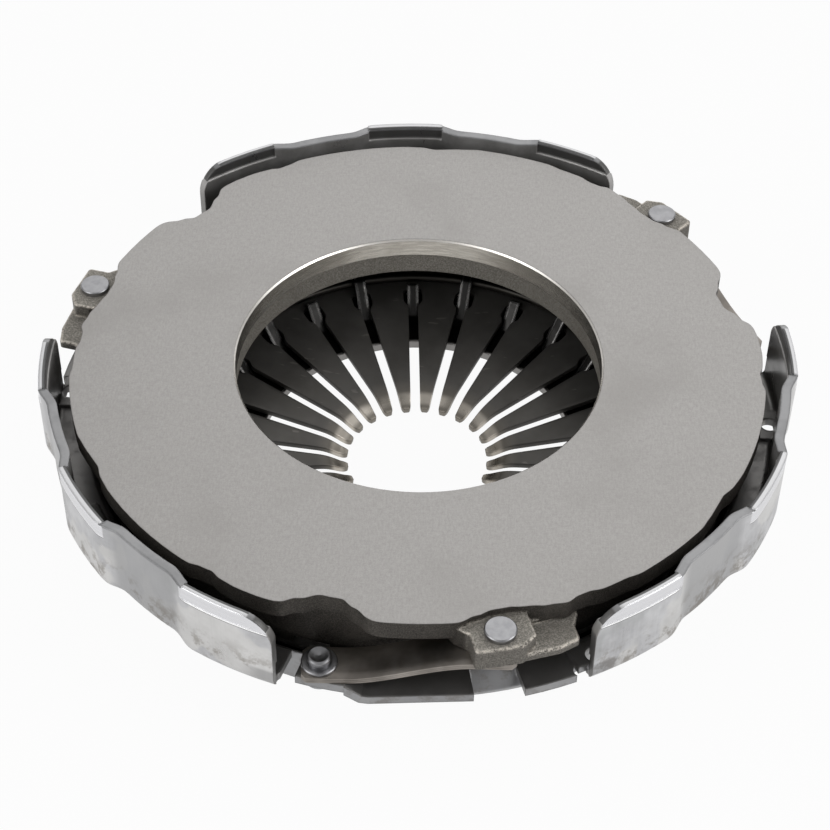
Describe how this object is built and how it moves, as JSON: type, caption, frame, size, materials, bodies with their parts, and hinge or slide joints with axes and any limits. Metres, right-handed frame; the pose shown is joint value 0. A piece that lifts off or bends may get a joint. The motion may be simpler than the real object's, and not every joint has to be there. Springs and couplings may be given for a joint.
{
  "type": "clutch pressure plate",
  "caption": "Clutch cover assembly: pressed steel cover, slotted diaphragm spring with pivot rings and a cast friction plate on riveted tangential leaf straps.",
  "frame": {"origin": "centre of the cover rim, on the plane that seats on the flywheel", "axes": "+Z along the clutch axis towards the flywheel; +X points through the cover bolt at 0 degrees; the first drive lug is at 45 degrees from +X towards +Y"},
  "size_m": [0.472, 0.4675, 0.0986],
  "materials": {
    "pressed_cover": "pressed sheet, phosphated, satin",
    "cast_iron": "rough cast sides, ground friction face",
    "spring_steel": "dark oiled and shot-peened",
    "ring_wire": "drawn wire",
    "strap_steel": "dark tempered strip",
    "rivet_steel": "bright upset rivet"
  },
  "bodies": {
    "cover": {"cover": "pressed_cover", "pivot_ring_upper": "ring_wire", "pivot_ring_lower": "ring_wire", "strap_a_leaf_1": "strap_steel", "strap_a_leaf_2": "strap_steel", "strap_a_leaf_3": "strap_steel", "strap_b_leaf_1": "strap_steel", "strap_b_leaf_2": "strap_steel", "strap_b_leaf_3": "strap_steel", "strap_c_leaf_1": "strap_steel", "strap_c_leaf_2": "strap_steel", "strap_c_leaf_3": "strap_steel", "cover_rivet_a": "rivet_steel", "cover_rivet_b": "rivet_steel", "cover_rivet_c": "rivet_steel", "strap_washer_a": "rivet_steel", "strap_washer_b": "rivet_steel", "strap_washer_c": "rivet_steel"},
    "plate": {"pressure_plate": "cast_iron", "lug_rivet_a": "rivet_steel", "lug_rivet_b": "rivet_steel", "lug_rivet_c": "rivet_steel"},
    "diaphragm": {"diaphragm_spring": "spring_steel"}
  },
  "joints": [
    {"name": "plate_travel", "type": "slide", "parent": "cover", "child": "plate", "axis": [0, 0, 1], "range_m": [-0.007, 0], "stiffness_N_per_m": 60000, "springref_m": 0.05, "deforming": ["strap_a_leaf_1", "strap_a_leaf_2", "strap_a_leaf_3", "strap_b_leaf_1", "strap_b_leaf_2", "strap_b_leaf_3", "strap_c_leaf_1", "strap_c_leaf_2", "strap_c_leaf_3"]},
    {"name": "finger_release", "type": "slide", "parent": "cover", "child": "diaphragm", "axis": [0, 0, 1], "range_m": [0, 0.0155], "stiffness_N_per_m": 20000, "springref_m": -0.05, "deforming": ["diaphragm_spring"]}
  ],
  "couplings": [
    {"joint": "finger_release", "follows": "plate_travel", "ratio": -2.2}
  ]
}
